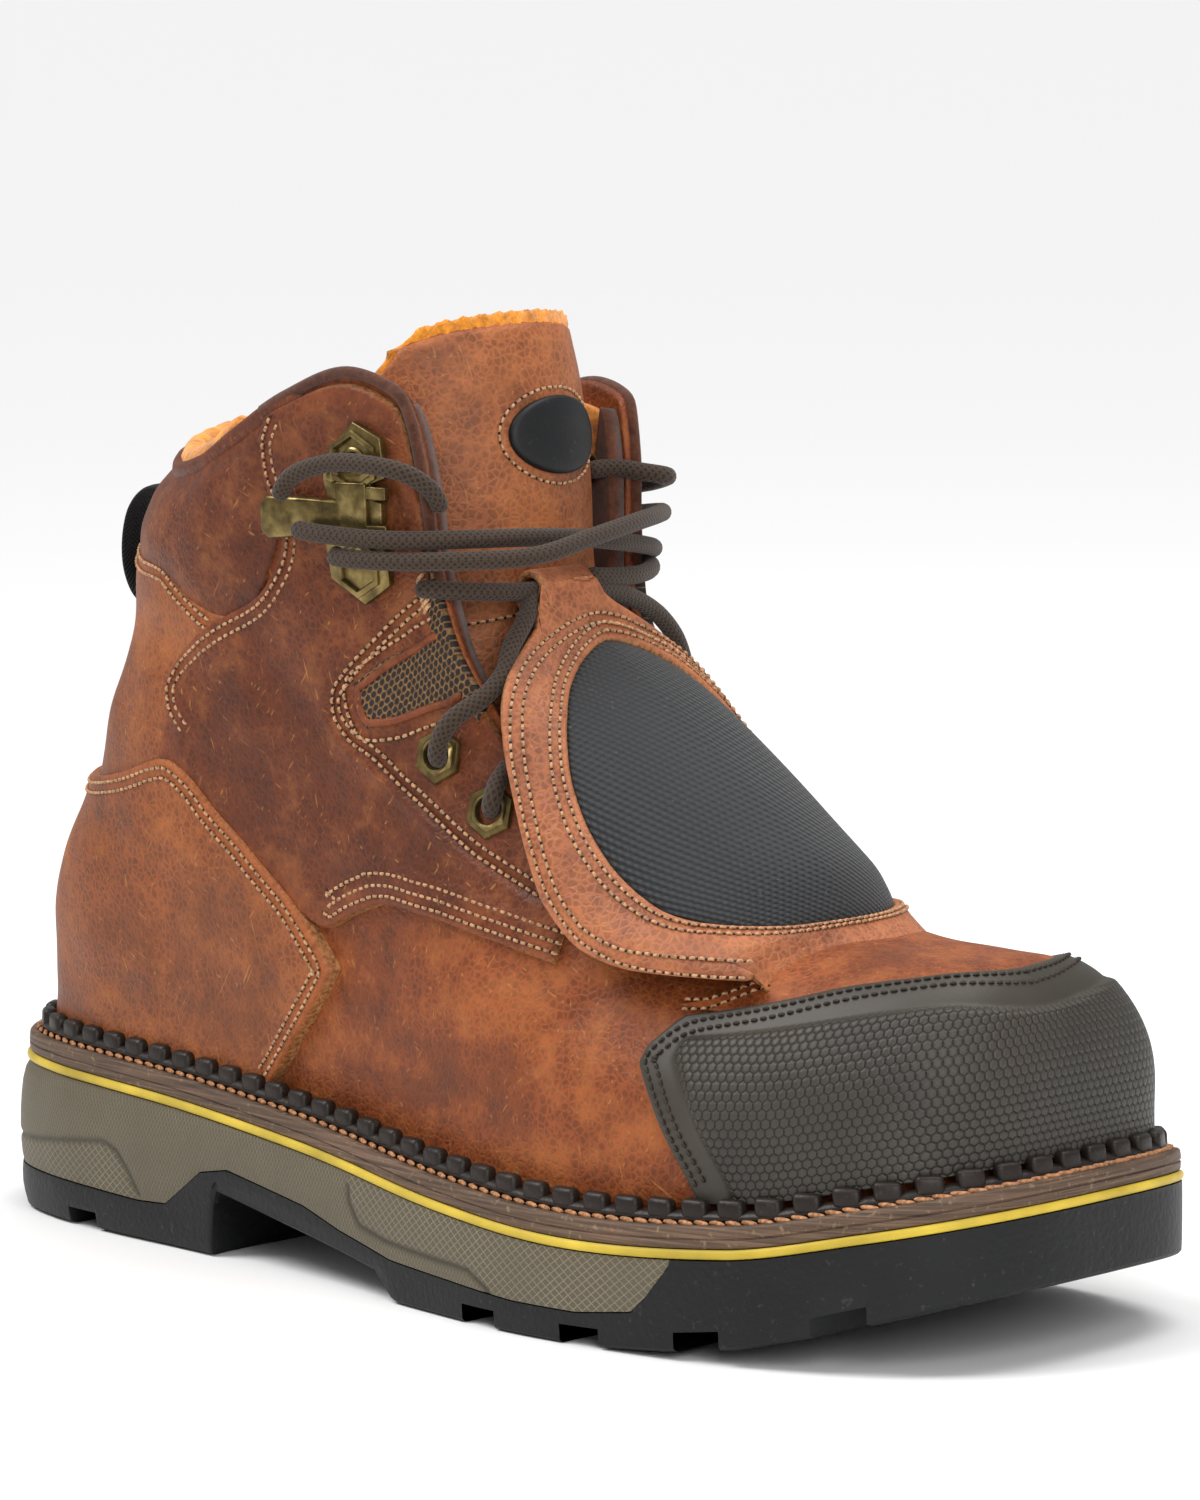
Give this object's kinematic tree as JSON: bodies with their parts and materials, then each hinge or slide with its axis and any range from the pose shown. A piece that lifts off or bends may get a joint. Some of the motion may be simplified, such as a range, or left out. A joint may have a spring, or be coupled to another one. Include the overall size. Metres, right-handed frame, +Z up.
{
  "type": "metatarsal guard work boot",
  "caption": "Right lace-up leather work boot with a padded instep guard flap, a rubber toe bumper, a welted two-layer sole and a heel pull loop.",
  "frame": {"origin": "on the floor under the middle of the heel", "axes": "+X to the toe, +Y to the inner side of the foot, +Z up"},
  "size_m": [0.3159, 0.1196, 0.216],
  "materials": {
    "black_rubber": "matte",
    "grey_foam": "matte",
    "yellow_rubber": "matte",
    "brown_welt": "matte",
    "dark_rubber": "matte",
    "insole_cloth": "matte",
    "brown_leather": "satin",
    "tongue_leather": "satin",
    "guard_leather": "satin",
    "cap_rubber": "matte",
    "black_badge": "satin",
    "black_cloth": "matte",
    "vent_mesh": "matte",
    "old_brass": "satin",
    "lace_cord": "matte",
    "black_webbing": "matte"
  },
  "bodies": {
    "root": {"outsole": "black_rubber", "midsole": "grey_foam", "sole_line": "yellow_rubber", "welt": "brown_welt", "storm_rib": "dark_rubber", "insole": "insole_cloth", "upper": "brown_leather", "counter": "brown_leather", "heel_stay": "brown_leather", "quarter_outer": "brown_leather", "quarter_inner": "brown_leather", "toe_cap": "cap_rubber", "tongue": "tongue_leather", "tongue_badge": "black_badge", "guard_flap": "guard_leather", "guard_pad": "black_cloth", "vent_outer": "vent_mesh", "vent_inner": "vent_mesh", "eyelet_outer_1": "old_brass", "eyelet_outer_2": "old_brass", "eyelet_inner_1": "old_brass", "eyelet_inner_2": "old_brass", "hook_outer": "old_brass", "hook_inner": "old_brass", "lace_bar_1": "lace_cord", "lace_bar_2": "lace_cord", "lace_tab_loop": "lace_cord", "lace_outer": "lace_cord", "lace_inner": "lace_cord", "pull_loop": "black_webbing"}
  },
  "joints": []
}
